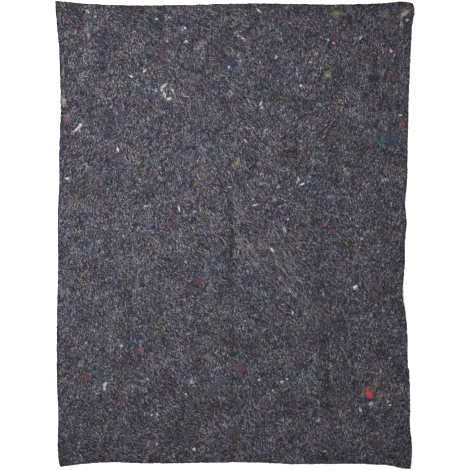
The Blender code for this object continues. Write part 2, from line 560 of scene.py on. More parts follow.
def multiply(tree, first, second):
    """Two colours multiplied."""
    return add_node(tree, "MixRGB", {0: 1.0, 1: first, 2: second}, blend_type="MULTIPLY")


DARKEST_LINE_SHADE = 0.55  # how dark the painted shade of the hardest line is
CUT_SHADE = 0.50  # and the darkest painted shade along the cut


def painted_line_and_cut_shade(tree, place):
    """A grey about 1, painted shade: darker along the creases and lines, and patchily along the
    cut.

    Noise of up to 12 mm is added to the distance from the cut. The shade is CUT_SHADE where that
    comes to 6 mm or less, and wears off by 16 mm.
    """
    line_shade = add_range(tree, add_number(tree, "line_shade"), 0.0, 1.2, 1.0, DARKEST_LINE_SHADE)
    patchy = add_node(tree, "TexNoise", {"Vector": place, "Scale": 60.0, "Detail": 2.0})
    inward = add_math(tree, "MULTIPLY_ADD", patchy, 0.012, add_number(tree, "inward"))
    return multiply(tree, line_shade, add_range(tree, inward, 0.0060, 0.0160, CUT_SHADE, 1.0))


HUE_PATCHES = [(12.0, 0.37), (34.0, 0.43), (70.0, 0.06)]  # each noise's scale and its depth
HUE_SPREAD = (1.29, 0.26, 1.05)  # how much of the depth red, green and blue take
WEB_DARK = (0.447, 0.450, 0.548, 1.0)
WEB_PALE = (1.550, 1.620, 1.530, 1.0)


def web_tint_and_shade(tree, place):
    """The uneven mix of the web, the same for the felt and the fibres on it, as a colour about 1.

    Coloured noise gives patches of hue of about 80, 30 and 14 mm, each spread about 1 by its
    depth. They run from blue to brown and hardly ever to green, so the green takes little of it.
    Grey noise gives patches of lightness of every size from 100 mm down to 5 mm, the dark ones
    bluer than the pale ones. All of this lies over the painted shade of the creases and the cut.
    """
    colour = painted_line_and_cut_shade(tree, place)
    for scale, depth in HUE_PATCHES:
        noise = add_node(tree, "TexNoise", {"Vector": place, "Scale": scale, "Detail": 0.5})
        spread = [part * depth for part in HUE_SPREAD]
        base = [1 - part / 2 for part in spread]
        dyes = noise.outputs["Color"]
        patches = add_math(tree, "MULTIPLY_ADD", dyes, spread, base, kind="VectorMath")
        colour = multiply(tree, colour, patches)
    sockets = {"Vector": place, "Scale": 10.0, "Detail": 4.5, "Roughness": 0.75}
    lightness = add_node(tree, "TexNoise", sockets)
    share = add_range(tree, lightness, 0.27, 0.73, 0.0, 1.0)
    return multiply(tree, colour, add_node(tree, "MixRGB", {0: share, 1: WEB_DARK, 2: WEB_PALE}))


STROKE_BEND = (0.024, 0.024, 0.0)  # how far noise bends the strokes, in metres
STROKE_SQUEEZE = (1.0, 0.14, 1.0)  # they come out seven times as long as they are wide
# The strokes' headings in degrees, each with its seed.
STROKE_WAYS = [(-56, 1.3), (-80, 2.9), (75, 7.7), (47, 4.1), (10, 5.6), (-27, 9.2)]


def strokes(tree, place, heading, seed):
    """Noise drawn out into strokes along a heading: the place bent a little, turned and squeezed.

    Those that run with the web's lay stand 0.2 higher, so that they win. The cosine of twice the
    angle between heading and lay says how nearly they do.
    """
    bend = add_node(tree, "TexNoise", {"Vector": place, "Scale": 22.0 + seed, "Detail": 1.0})
    swirl = bend.outputs["Color"]
    bent = add_math(tree, "MULTIPLY_ADD", swirl, STROKE_BEND, place, kind="VectorMath")
    turn = np.pi / 2 - np.radians(heading)
    sockets = {"Location": (seed, seed * 0.37, 0.0), "Rotation": (0.0, 0.0, turn)}
    turned = add_node(tree, "Mapping", {"Vector": bent, **sockets})
    squeezed = add_math(tree, "MULTIPLY", turned, STROKE_SQUEEZE, kind="VectorMath")
    sockets = {"Vector": squeezed, "Scale": 340.0 + seed, "Detail": 2.0, "Roughness": 0.6}
    height = add_node(tree, "TexNoise", sockets)
    double = 2 * np.radians(heading)
    cosine = add_math(tree, "MULTIPLY", add_number(tree, "lay_x"), np.cos(double))
    cosine = add_math(tree, "MULTIPLY_ADD", add_number(tree, "lay_y"), np.sin(double), cosine)
    return add_math(tree, "ADD", height, add_range(tree, cosine, 0.3, 0.9, 0.0, 0.2))


# The felt's colour by the height of its fibres: nearly black in the gaps as painted shade, light
# on the topmost.
FELT_STOPS = [
    (0.776, (0.0075, 0.0045, 0.0105)),
    (0.824, (0.0235, 0.0205, 0.0295)),
    (0.872, (0.0525, 0.0492, 0.0615)),
    (0.920, (0.115, 0.112, 0.130)),
    (0.997, (0.290, 0.280, 0.300)),
]


def felt_material():
    """Shredded fibre: strokes that cross in six directions over clumps, in patches of colour."""
    material, tree, shader = new_material("needled_felt")
    place = add_node(tree, "TexCoord").outputs["Object"]

    sockets = {"Vector": place, "Scale": 210.0, "Detail": 2.0, "Roughness": 0.65}
    clumps = add_node(tree, "TexNoise", sockets)
    highest = strokes(tree, place, *STROKE_WAYS[0])
    for heading, seed in STROKE_WAYS[1:]:
        highest = add_math(tree, "MAXIMUM", highest, strokes(tree, place, heading, seed))
    clump_share = add_math(tree, "MULTIPLY", clumps, 0.55)
    fibre = add_math(tree, "MULTIPLY_ADD", highest, 0.75, clump_share)
    colour = multiply(tree, add_ramp(tree, fibre, FELT_STOPS), web_tint_and_shade(tree, place))
    bump = add_node(tree, "Bump", {"Height": fibre, "Strength": 0.9, "Distance": 0.0022})
    sockets = {"Base Color": colour, "Normal": bump, "Roughness": 0.95}
    sockets.update({"Specular IOR Level": 0.15, "Sheen Weight": 0.10, "Sheen Roughness": 0.6})
    set_sockets(tree, shader, sockets)
    return material


sheet = felt_sheet()
sheet.data.materials.append(felt_material())
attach(sheet, "root")
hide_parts("felt_panel")

# ---------------------------------------------------------------------------------------------
# The fibres of the faces. The needles leave bundles of shredded yarn, 3 to 34 mm long, lying on
# the felt and half caught in it: pale, grey and dark ones by the thousand. Most of them follow
# the lay of the web, and the rest lie anyhow.

SHARE_WITH_LAY = 6 / 7
LAY_SPREAD = np.radians(16)  # and they stray from the lay by so much
FOOT_DEPTH = 0.0002  # the feet of a thread lie so deep in the felt
CELL_MARGIN = 0.1  # of a thread's cell of the UV map, on every side


def scattered(count, seed, shortest, longest, clumping):
    """Places on the panel in metres from its lower left corner, denser where a field is high.

    Twice as many are drawn as asked for. Those stay where chance, plus the clumping times the
    lumpy field, comes out highest.
    """
    chance = np.random.default_rng(seed)
    places = chance.random((2 * count, 2)) * [CUT_WIDTH, CUT_LENGTH]
    field = lumps(places, shortest, longest, count=20, seed=seed + 1)
    rank = chance.random(2 * count) + clumping * field
    return places[np.argsort(-rank)[:count]]


def felt_headings(chance, places):
    """Headings at places in metres from the lower left corner.

    SHARE_WITH_LAY of them keep to the web's lay there, give or take LAY_SPREAD. The rest are even
    over half a turn.
    """
    lay = web_lay(places - np.array([CUT_WIDTH, CUT_LENGTH]) / 2)
    near = np.arctan2(lay[:, 1], lay[:, 0]) / 2
    near = near + LAY_SPREAD * chance.standard_normal(len(places))
    with_lay = chance.random(len(places)) < SHARE_WITH_LAY
    return np.where(with_lay, near, chance.random(len(places)) * np.pi)


def thread_paths(middle, heading, length, turn, waver, rings):
    """The plan of each thread, as (threads, rings, 2).

    Its direction is the heading, plus the turn times (s - 1/2), plus the waver times
    sin(3 pi s). The steps along it are summed, and their mean is put on the middle.
    """
    s = np.linspace(0, 1, rings)
    between = (s[1:] + s[:-1]) / 2
    way = heading[:, None] + turn[:, None] * (between - 0.5)
    way = way + waver[:, None] * np.sin(3 * np.pi * between)
    step = length[:, None] / (rings - 1)
    steps = np.stack([np.cos(way) * step, np.sin(way) * step], axis=-1)
    path = np.concatenate([np.zeros((len(middle), 1, 2)), np.cumsum(steps, axis=1)], axis=1)
    return path - path.mean(axis=1, keepdims=True) + middle[:, None]


def onto_panel(path, margin=0.002):
    """Paths in metres from the lower left corner, kept off the cut and laid on the real plan."""
    across = np.clip(path[..., 0], margin, CUT_WIDTH - margin)
    up = np.clip(path[..., 1], margin, CUT_LENGTH - margin)
    return panel_plan(across / CUT_WIDTH, up / CUT_LENGTH)


def thread_piece(name, path, ground, width, tone, worn=0.0, rise=0.45, upward=1):
    """Threads of a three-sided section along their paths, as one mesh.

    At each ring the feet lie half a width to the left and right, FOOT_DEPTH under the ground, and
    the crown stands the rise times the width over it. Towards the ends the width shrinks with the
    square root of 1 - (2 s - 1)^4, down to a fifth, or to a half on a thread of three rings. Each
    thread has its own cell of the UV map, its tone and its wear.
    """
    count, rings = path.shape[:2]
    s = np.linspace(0, 1, rings)
    thinnest = 0.2 if rings > 3 else 0.5
    taper = np.maximum(np.sqrt(1 - (2 * s - 1) ** 4), thinnest)
    ahead = np.gradient(path, axis=1)
    ahead = ahead / np.maximum(np.linalg.norm(ahead, axis=-1, keepdims=True), 1e-9)
    leftward = np.stack([-ahead[..., 1], ahead[..., 0]], axis=-1)
    full = width[:, None] * taper
    reach = leftward * full[..., None] / 2
    foot = ground - upward * FOOT_DEPTH
    crown = ground + upward * rise * full
    sides = [(path + reach, foot), (path, crown), (path - reach, foot)]
    section = [np.dstack([plan, height]) for plan, height in sides]
    points = np.stack(section, axis=2).reshape(-1, 3)

    ids = np.arange(count * rings * 3).reshape(count, rings, 3)
    turned = np.roll(ids, -1, axis=2)
    quads = np.stack([ids[:, :-1], turned[:, :-1], turned[:, 1:], ids[:, 1:]], axis=-1)
    caps = np.stack([ids[:, 0][:, [0, 2, 1]], ids[:, -1]], axis=1)

    side = int(np.ceil(np.sqrt(count)))
    cell = np.stack([np.arange(count) % side, np.arange(count) // side], axis=-1)
    along = np.broadcast_to(s[:, None], (rings, 3))
    around = np.broadcast_to(np.arange(3) / 3, (rings, 3))
    corners_along = np.stack([along[:-1], along[:-1], along[1:], along[1:]], axis=-1)
    corners_around = np.stack([around[:-1], around[:-1] + 1 / 3] * 2, axis=-1)[..., [0, 1, 3, 2]]
    within = np.stack([corners_along, corners_around], axis=-1).reshape(1, -1, 2)
    # The caps are slivers at the two ends of the cell.
    cap_within = np.array([[0, 0], [0, 0.6], [0.02, 0.3], [1, 0], [1, 0.6], [0.98, 0.3]])[None]
    quad_uv, cap_uv = [
        (cell[:, None] + CELL_MARGIN + (1 - 2 * CELL_MARGIN) * part) / side
        for part in (within, cap_within)
    ]
    quads, caps = quads.reshape(-1, 4), caps.reshape(-1, 3)
    if upward < 0:
        quads, caps = quads[:, ::-1], caps[:, ::-1]
        quad_uv = quad_uv.reshape(-1, 4, 2)[:, ::-1]
        cap_uv = cap_uv.reshape(-1, 3, 2)[:, ::-1]
    uv = np.concatenate([quad_uv.reshape(-1, 2), cap_uv.reshape(-1, 2)])
    numbers = {
        "tone": np.repeat(tone, rings * 3),
        "worn": np.repeat(np.broadcast_to(worn, (count,)), rings * 3),
        "inward": np.repeat(cut_distance(path), 3),
        "line_shade": np.repeat(painted_line_shade(path), 3),
    }
    piece = new_piece(name, points, [quads, caps], uv, numbers)
    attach(piece, "root")
    return piece


WORN_GREY = (0.075, 0.072, 0.086, 1.0)


def dye_threads(piece, name, stops, shade=web_tint_and_shade, mottle=(380.0, 0.4)):
    """Give a piece its yarn: a thread's tone picks its dye from the stops, and wear greys it.

    The mottle is noise of a scale and of a depth about 1, painted shade as the fibres lie deeper or
    shallower. The shade brings in the painted shade of the creases and the cut.
    """
    material, tree, shader = new_material(name)
    place = add_node(tree, "TexCoord").outputs["Object"]
    dye = add_ramp(tree, add_number(tree, "tone"), stops)
    colour = add_node(tree, "MixRGB", {0: add_number(tree, "worn"), 1: dye, 2: WORN_GREY})
    scale, depth = mottle
    noise = add_node(tree, "TexNoise", {"Vector": place, "Scale": scale, "Detail": 2.0})
    colour = multiply(tree, colour, add_range(tree, noise, 0.3, 0.7, 1 - depth, 1 + depth))
    colour = multiply(tree, colour, shade(tree, place))
    sockets = {"Base Color": colour, "Roughness": 0.9, "Specular IOR Level": 0.2}
    set_sockets(tree, shader, {**sockets, "Sheen Weight": 0.15, "Sheen Roughness": 0.5})
    piece.data.materials.append(material)


def face_fibres(name, count, seed, longest, widest, upward=1, rings=3):
    """Fibres strewn over the upper face, or under the lower one, in clumps of 20 to 150 mm.

    A fibre is 0.3 to 1 times as long and 0.4 to 1 times as wide as the most. It turns by about
    60 degrees over its length and wavers by 20.
    """
    chance = np.random.default_rng(seed)
    middle = scattered(count, seed, 0.020, 0.150, clumping=0.14)
    length = longest * (0.3 + 0.7 * chance.random(count))
    turn = 1.1 * chance.standard_normal(count)
    waver = 0.35 * chance.standard_normal(count)
    headings = felt_headings(chance, middle)
    path = onto_panel(thread_paths(middle, headings, length, turn, waver, rings))
    ground = face_height(path) if upward > 0 else crease_height(path)
    width = widest * (0.4 + 0.6 * chance.random(count))
    return thread_piece(name, path, ground, width, chance.random(count), upward=upward)


PALE_YARN = [
    (0.0, (0.080, 0.078, 0.092)),
    (0.5, (0.150, 0.147, 0.168)),
    (0.85, (0.270, 0.266, 0.290)),
    (1.0, (0.500, 0.495, 0.510)),
]
DARK_YARN = [
    (0.0, (0.006, 0.004, 0.008)),
    (0.7, (0.020, 0.017, 0.025)),
    (1.0, (0.041, 0.038, 0.049)),
]
MIXED_YARN = [
    (0.0, (0.007, 0.004, 0.009)),
    (0.45, (0.024, 0.021, 0.030)),
    (0.62, (0.101, 0.097, 0.115)),
    (1.0, (0.360, 0.355, 0.375)),
]

pale_fibres = face_fibres("pale_fibres", 7600, seed=31, longest=0.028, widest=0.0015, rings=4)
dark_fibres = face_fibres("dark_fibres", 7600, seed=41, longest=0.022, widest=0.0023)
short_fibres = face_fibres("short_fibres", 12800, seed=45, longest=0.011, widest=0.0019)
under_fibres = face_fibres("under_fibres", 2600, 51, longest=0.034, widest=0.0020, upward=-1)
dye_threads(pale_fibres, "pale_yarn", PALE_YARN)
dye_threads(dark_fibres, "dark_yarn", DARK_YARN)
dye_threads(short_fibres, "short_yarn", MIXED_YARN)
dye_threads(under_fibres, "mixed_yarn", MIXED_YARN)

# ---------------------------------------------------------------------------------------------
# Coloured yarn. The shredder leaves bits of dyed yarn whole. They lie in tufts of a few threads
# that are part worn to grey, most of them half hidden, and some as bright flecks.

# A fleck's place is in millimetres from the outline's middle. It is so long and so wide, and
# leans by so many degrees from the X axis. Its strength is the share of its dye that is left.
Fleck = namedtuple("Fleck", "x y long wide lean colour strength")
COLOURED_FLECKS = [
    Fleck(641, 411, 42, 20, 88, "teal", 1.0),
    Fleck(639, 407, 74, 40, 90, "teal", 0.15),
    Fleck(687, 407, 62, 54, 80, "navy", 0.9),
    Fleck(700, 424, 30, 20, 60, "purple", 0.5),
    Fleck(730, 486, 48, 24, -85, "rust", 0.7),
    Fleck(732, 442, 50, 18, -85, "brown", 0.6),
    Fleck(457, 290, 34, 22, 30, "green", 0.35),
    Fleck(615, 424, 44, 18, 88, "rose", 0.4),
    Fleck(642, 463, 20, 11, 80, "purple", 0.7),
    Fleck(617, 455, 13, 12, 0, "green", 0.5),
    Fleck(583, 392, 13, 10, 0, "pink", 0.5),
    Fleck(12, 613, 24, 16, 20, "rose", 0.5),
    Fleck(-333, -437, 20, 14, 60, "brown", 0.5),
    Fleck(-442, -485, 22, 18, 80, "teal", 0.35),
    Fleck(188, 108, 18, 12, -50, "wine", 0.8),
    Fleck(551, -21, 18, 13, 60, "pink", 0.5),
    Fleck(603, -56, 44, 18, 10, "rose", 0.35),
    Fleck(31, 220, 26, 16, 90, "rose", 0.6),
    Fleck(166, 53, 22, 16, 10, "rose", 0.9),
    Fleck(167, 54, 11, 8, 0, "pink", 0.9),
    Fleck(357, 29, 52, 13, 5, "rose", 0.55),
    Fleck(428, 14, 22, 20, 0, "rose", 0.8),
    Fleck(240, -5, 16, 14, 0, "rose", 0.5),
    Fleck(292, -14, 22, 14, 0, "rose", 0.6),
    Fleck(279, -413, 28, 20, 0, "rose", 0.45),
    Fleck(-414, -502, 30, 26, 0, "red", 0.7),
    Fleck(-411, -500, 12, 9, 0, "pink", 0.9),
    Fleck(-445, -490, 22, 20, 60, "sage", 0.45),
    Fleck(-452, -596, 40, 24, -30, "rust", 0.45),
    Fleck(-24, 741, 56, 48, 0, "navy", 1.0),
    Fleck(36, 724, 58, 12, -30, "ochre", 0.15),
    Fleck(75, 867, 26, 16, 0, "rust", 0.5),
    Fleck(-38, 837, 28, 20, 0, "teal", 0.35),
    Fleck(175, 719, 26, 18, 0, "purple", 0.45),
    Fleck(496, 880, 28, 24, 60, "wine", 0.5),
    Fleck(-194, 815, 28, 10, -50, "black", 0.9),
    Fleck(557, -696, 30, 15, 80, "sage", 0.9),
    Fleck(539, -677, 42, 22, -85, "wine", 0.8),
    Fleck(548, -604, 40, 28, -50, "olive", 0.5),
    Fleck(617, -644, 44, 28, -50, "ochre", 0.5),
    Fleck(635, -696, 44, 28, 50, "lime", 0.3),
    Fleck(638, -694, 34, 6, 55, "straw", 0.6),
    Fleck(451, -710, 34, 28, 0, "wine", 0.6),
    Fleck(614, -898, 52, 32, -60, "wine", 0.6),
    Fleck(654, -843, 36, 28, 60, "rose", 0.3),
    Fleck(622, -664, 24, 14, 80, "black", 0.9),
    Fleck(-333, 290, 26, 16, 0, "rose", 0.45),
    Fleck(-151, -201, 40, 32, -20, "rose", 0.95),
    Fleck(-164, -123, 32, 28, 60, "rose", 0.3),
    Fleck(-92, -296, 28, 22, 40, "rose", 0.2),
    Fleck(-619, -114, 30, 24, 60, "wine", 0.95),
    Fleck(170, -184, 28, 24, 60, "rose", 0.4),
    Fleck(726, -5, 24, 18, 80, "wine", 0.6),
    Fleck(335, -348, 34, 26, 60, "rust", 0.3),
    Fleck(-647, -615, 38, 34, 40, "rose", 1.0),
    Fleck(-620, -519, 26, 24, 40, "wine", 0.4),
    Fleck(-634, -582, 42, 26, -30, "teal", 0.3),
    Fleck(-415, -618, 34, 22, -20, "black", 0.8),
    Fleck(0, -856, 52, 44, 60, "wine", 0.55),
    Fleck(-628, -843, 34, 26, 60, "wine", 0.95),
    Fleck(-335, -890, 36, 22, 0, "teal", 0.25),
    Fleck(-292, -936, 20, 10, 0, "rose", 0.5),
    Fleck(129, -738, 44, 40, 60, "purple", 0.5),
    Fleck(294, -827, 40, 30, 60, "rust", 0.3),
    Fleck(-318, 790, 62, 38, 80, "wine", 1.0),
    Fleck(-610, 205, 32, 24, -60, "rose", 0.6),
    Fleck(-290, 46, 34, 14, -25, "rose", 0.8),
    Fleck(-268, 100, 76, 14, 65, "wine", 0.6),
    Fleck(-396, 548, 16, 13, 20, "rose", 0.7),
    Fleck(-355, 548, 14, 12, 20, "rose", 0.55),
    Fleck(127, -62, 30, 26, -40, "rose", 0.6),
    Fleck(302, 22, 44, 26, 0, "blue", 0.75),
    Fleck(544, 90, 18, 12, 0, "blue", 0.6),
    Fleck(392, -392, 56, 40, 0, "navy", 0.55),
    Fleck(407, 693, 42, 28, 20, "lime", 0.65),
    Fleck(405, 693, 16, 12, 20, "straw", 1.0),
    Fleck(442, 958, 46, 32, 10, "gold", 0.9),
    Fleck(444, 960, 18, 12, 10, "straw", 0.6),
    Fleck(405, 980, 28, 24, -60, "wine", 0.85),
    Fleck(517, 771, 36, 28, 60, "purple", 0.85),
    Fleck(568, 686, 28, 20, 0, "wine", 0.9),
    Fleck(696, 572, 34, 22, 60, "wine", 0.6),
    Fleck(558, 590, 40, 8, -40, "blue", 0.4),
    Fleck(428, 850, 60, 30, 80, "wine", 0.7),
    Fleck(704, 690, 44, 34, -60, "wine", 0.9),
    Fleck(704, 804, 30, 24, 80, "wine", 0.75),
    Fleck(120, 172, 60, 28, -55, "ochre", 0.4),
    Fleck(74, 92, 66, 24, -45, "rose", 0.3),
    Fleck(-166, 225, 46, 22, 65, "ochre", 0.5),
    Fleck(-138, 272, 40, 22, -60, "brown", 0.5),
    Fleck(11, 314, 26, 10, 30, "straw", 0.8),
    Fleck(49, 403, 16, 10, 20, "straw", 0.45),
    Fleck(-106, -541, 34, 20, -70, "ochre", 0.6),
    Fleck(-124, -457, 52, 34, -60, "ochre", 0.4),
    Fleck(30, -582, 42, 36, 10, "rose", 0.85),
    Fleck(4, -574, 30, 24, 10, "rose", 0.4),
    Fleck(-26, -667, 32, 26, 10, "rose", 0.7),
    Fleck(14, -670, 28, 18, 10, "rose", 0.5),
    Fleck(-70, -635, 54, 44, 0, "blue", 0.45),
    Fleck(-102, -689, 44, 40, 0, "navy", 0.8),
    Fleck(-724, 943, 24, 20, 0, "rose", 0.6),
    Fleck(-680, 912, 40, 15, 72, "red", 0.55),
    Fleck(-722, 880, 22, 20, 0, "sage", 0.6),
    Fleck(171, -701, 24, 20, 60, "orange", 0.25),
    Fleck(239, -804, 22, 16, 0, "peach", 0.6),
    Fleck(388, -938, 30, 10, 0, "gold", 0.5),
    Fleck(-381, -964, 20, 11, 0, "gold", 0.45),
    Fleck(660, 954, 44, 26, -60, "gold", 0.5),
    Fleck(661, 906, 50, 18, -75, "brown", 0.6),
    Fleck(383, 945, 20, 15, 0, "navy", 0.6),
    Fleck(-732, 500, 22, 14, 0, "pink", 0.45),
    Fleck(-715, 489, 34, 24, -30, "wine", 0.25),
    Fleck(-750, 381, 22, 14, 60, "blue", 0.7),
    Fleck(-715, 148, 42, 34, 0, "brown", 0.6),
    Fleck(-42, -144, 26, 17, -30, "peach", 0.4),
    Fleck(578, 320, 14, 10, 0, "red", 0.4),
    Fleck(726, 481, 12, 9, 0, "orange", 0.9),
    Fleck(-694, -516, 40, 30, 80, "teal", 0.35),
    Fleck(-158, 565, 46, 34, -60, "teal", 0.25),
    Fleck(-659, 233, 18, 13, 60, "green", 0.6),
    Fleck(-738, -935, 34, 32, 40, "black", 0.55),
    Fleck(240, -97, 12, 9, 0, "blue", 0.6),
    Fleck(656, -700, 16, 10, 60, "straw", 0.5),
    Fleck(240, 429, 15, 11, 0, "red", 0.55),
    Fleck(598, -264, 42, 28, -30, "wine", 0.6),
    Fleck(-368, -387, 20, 14, 30, "rose", 0.6),
    Fleck(-546, -391, 26, 20, -40, "rose", 0.6),
    Fleck(379, -331, 42, 22, 85, "rust", 0.5),
    Fleck(-460, -888, 36, 28, 0, "rose", 0.6),
    Fleck(743, 919, 34, 24, -40, "black", 1.0),
    Fleck(598, 679, 50, 42, 20, "black", 1.0),
    Fleck(596, 682, 38, 30, 60, "black", 1.0),
    Fleck(618, 640, 22, 16, 60, "black", 0.8),
    Fleck(290, -567, 48, 36, 0, "black", 1.0),
    Fleck(-366, -884, 34, 24, 20, "black", 0.8),
    Fleck(-94, 645, 28, 20, 60, "black", 1.0),
    Fleck(140, -231, 22, 16, 0, "black", 1.0),
    Fleck(526, -296, 22, 18, 30, "black", 1.0),
    Fleck(665, -27, 24, 18, 60, "black", 0.9),
    Fleck(695, -244, 24, 20, 60, "black", 0.9),
    Fleck(665, -348, 26, 18, 0, "black", 1.0),
    Fleck(-450, -808, 26, 20, 0, "black", 0.9),
    Fleck(-706, -882, 26, 20, 0, "black", 0.9),
    Fleck(-320, -882, 24, 18, 0, "black", 0.9),
    Fleck(-329, 494, 26, 18, 40, "black", 0.9),
    Fleck(-656, 222, 36, 22, 30, "black", 1.0),
    Fleck(-706, 188, 28, 22, 0, "black", 1.0),
    Fleck(-394, 194, 26, 18, 60, "black", 0.9),
    Fleck(-246, 186, 26, 18, 0, "black", 0.9),
    Fleck(-606, -114, 28, 20, 0, "black", 0.7),
    Fleck(-554, -531, 28, 20, 0, "black", 0.9),
    Fleck(192, -422, 26, 20, 0, "black", 1.0),
    Fleck(74, -493, 20, 16, 0, "black", 1.0),
    Fleck(-10, -206, 24, 14, 60, "black", 1.0),
    Fleck(704, -596, 24, 20, 0, "black", 0.9),
    Fleck(-667, 390, 26, 10, -30, "black", 0.8),
    # painted shade: the dark groove inside the rolled rim of the left edge
    Fleck(-734, 711, 74, 6, 89, "black", 1.0),
    Fleck(635, 980, 20, 16, 0, "black", 0.7),
    Fleck(452, 980, 34, 9, -70, "black", 0.9),
]
YARN_COLOURS = {
    "wine": (0.075, 0.013, 0.030),
    "red": (0.165, 0.020, 0.032),
    "rose": (0.122, 0.015, 0.042),
    "pink": (0.460, 0.085, 0.170),
    "peach": (0.360, 0.220, 0.160),
    "orange": (0.340, 0.110, 0.060),
    "rust": (0.170, 0.050, 0.030),
    "brown": (0.120, 0.056, 0.036),
    "ochre": (0.200, 0.145, 0.065),
    "gold": (0.220, 0.180, 0.042),
    "straw": (0.340, 0.310, 0.180),
    "lime": (0.210, 0.220, 0.090),
    "olive": (0.150, 0.150, 0.075),
    "sage": (0.130, 0.180, 0.150),
    "green": (0.045, 0.140, 0.080),
    "teal": (0.012, 0.125, 0.175),
    "blue": (0.022, 0.062, 0.125),
    "navy": (0.013, 0.027, 0.078),
    "purple": (0.058, 0.034, 0.070),
    "black": (0.008, 0.008, 0.011),
}
LONGEST_IN_FLECK = 0.018  # the mean length of the threads in the largest flecks


def tones_and_stops(colours):
    """A tone for each colour's name, spaced evenly from 0 to 1, and the ramp's stops for them."""
    tones = {name: place / (len(colours) - 1) for place, name in enumerate(colours)}
    return tones, [(tones[name], colour) for name, colour in colours.items()]


def about_rows(rows, owner, offset):
    """Points of the plan, each off its row's place by so much along the row's lean and across."""
    place = np.array([[row.x, row.y] for row in rows]) * MM
    lean = np.radians([row.lean for row in rows])
    along = np.stack([np.cos(lean), np.sin(lean)], axis=-1)
    across = np.stack([-along[:, 1], along[:, 0]], axis=-1)
    return place[owner] + along[owner] * offset[:, :1] + across[owner] * offset[:, 1:]


def fleck_piece(name, flecks, tones, seed, fill, widest, lift=0.0, rings=4):
    """The flecks' threads as one piece, each in the tone of its fleck's colour.

    The threads could cover a fleck's ellipse as often as the fill times its strength, so that the
    web shows through a weak one. They lie thicker towards its middle, along its lean within about
    30 degrees, and are about half as long as it. A thread's wear is 0.65 less 0.6 times the
    strength, give or take 0.2, and it lies up to 0.3 mm over the lift above the face.
    """
    chance = np.random.default_rng(seed)
    size = np.array([[fleck.long, fleck.wide] for fleck in flecks]) * MM
    lean = np.radians([fleck.lean for fleck in flecks])
    strength = np.array([fleck.strength for fleck in flecks])
    mean_length = np.minimum(size[:, 0] / 2, LONGEST_IN_FLECK)
    area = np.pi / 4 * size[:, 0] * size[:, 1]
    count = (2 + fill * strength * area / (mean_length * widest * 0.75)).astype(int)
    owner = np.repeat(np.arange(len(flecks)), count)
    total = len(owner)
    angle = chance.random(total) * 2 * np.pi
    offset = chance.random(total)[:, None] ** 0.7 * np.stack([np.cos(angle), np.sin(angle)], -1)
    middle = about_rows(flecks, owner, offset * size[owner] * 0.5)
    heading = lean[owner] + 0.5 * chance.standard_normal(total)
    length = mean_length[owner] * (0.7 + 0.6 * chance.random(total))
    turn = chance.standard_normal(total)
    waver = 0.3 * chance.standard_normal(total)
    path = thread_paths(middle, heading, length, turn, waver, rings)
    width = widest * (0.5 + 0.5 * chance.random(total))
    ground = face_height(path) + lift + 0.0003 * chance.random(total)[:, None]
    tone = np.array([tones[fleck.colour] for fleck in flecks])[owner]
    worn = np.clip(0.65 - 0.6 * strength[owner] + 0.2 * chance.standard_normal(total), 0, 1)
    return thread_piece(name, path, ground, width, tone, worn, rise=0.5)


YARN_TONES, YARN_STOPS = tones_and_stops(YARN_COLOURS)
yarn_flecks = fleck_piece(
    "coloured_flecks",
    COLOURED_FLECKS,
    YARN_TONES,
    seed=61,
    fill=1.6,
    widest=0.0014,
    lift=0.0003,
    rings=3,
)
dye_threads(yarn_flecks, "dyed_yarn", YARN_STOPS, shade=painted_line_and_cut_shade, mottle=(230.0, 0.85))


def strewn_tufts(name, tufts, threads, seed, spread, longest, widest, wear):
    """Tufts of so many threads each, strewn at random, with one tone to a tuft.

    The threads lie about a tuft's middle as a bell curve of the spread, 0.35 to 1 times as long
    and 0.4 to 1 times as wide as the most. A tuft's wear lies between the two that are given.
    """
    chance = np.random.default_rng(seed)
    count = tufts * threads
    centre = scattered(tufts, seed, 0.050, 0.250, clumping=0.10)
    middle = np.repeat(centre, threads, axis=0) + spread * chance.standard_normal((count, 2))
    length = longest * (0.35 + 0.65 * chance.random(count))
    turn = 1.1 * chance.standard_normal(count)
    waver = 0.35 * chance.standard_normal(count)
    headings = felt_headings(chance, middle)
    path = onto_panel(thread_paths(middle, headings, length, turn, waver, rings=3))
    width = widest * (0.4 + 0.6 * chance.random(count))
    tone = np.repeat(chance.random(tufts), threads) + 0.01 * chance.standard_normal(count)
    worn = np.repeat(wear[0] + (wear[1] - wear[0]) * chance.random(tufts), threads)
    return thread_piece(name, path, face_height(path), width, np.clip(tone, 0, 1), worn)


tinted_tufts = strewn_tufts(
    "tinted_tufts",
    tufts=800,
    threads=9,
    seed=71,
    spread=0.010,
    longest=0.022,
    widest=0.0016,
    wear=(0.80, 0.99),
)
dye_threads(tinted_tufts, "worn_yarn", YARN_STOPS)
bright_tufts = strewn_tufts(
    "bright_tufts",
    tufts=260,
    threads=4,
    seed=81,
    spread=0.004,
    longest=0.013,
    widest=0.0014,
    wear=(0.55, 0.95),
)
dye_threads(bright_tufts, "bright_yarn", YARN_STOPS)

# ---------------------------------------------------------------------------------------------
# The red scrap. One bit of red jersey came through the shredder whole: a leaf-shaped rag that
# the needles have caught along its edges, with loose red threads about it.

SCRAP_PLACE = (0.585, -0.688)
SCRAP_LENGTH = 0.053
SCRAP_WIDTH = 0.031
SCRAP_LEAN = np.radians(-65)
SCRAP_RISE = 0.0010  # its upper face stands so far out of the felt
SCRAP_CRUMPLE = 0.0004  # and is crumpled by so much
SCRAP_DEPTH = 0.0006  # its lower face lies so deep in the felt
SCRAP_RIBS = (0.0, 0.0, 0.44)  # the turn of its ribs, which run aslant across it
# The scrap's reds run from a pinkish painted highlight to a dark painted shadow on the other side.
SCRAP_LIT_TO_SHADED_REDS = [
    (0.0, (0.360, 0.036, 0.085)),
    (0.5, (0.430, 0.040, 0.048)),
    (1.0, (0.095, 0.020, 0.022)),
]


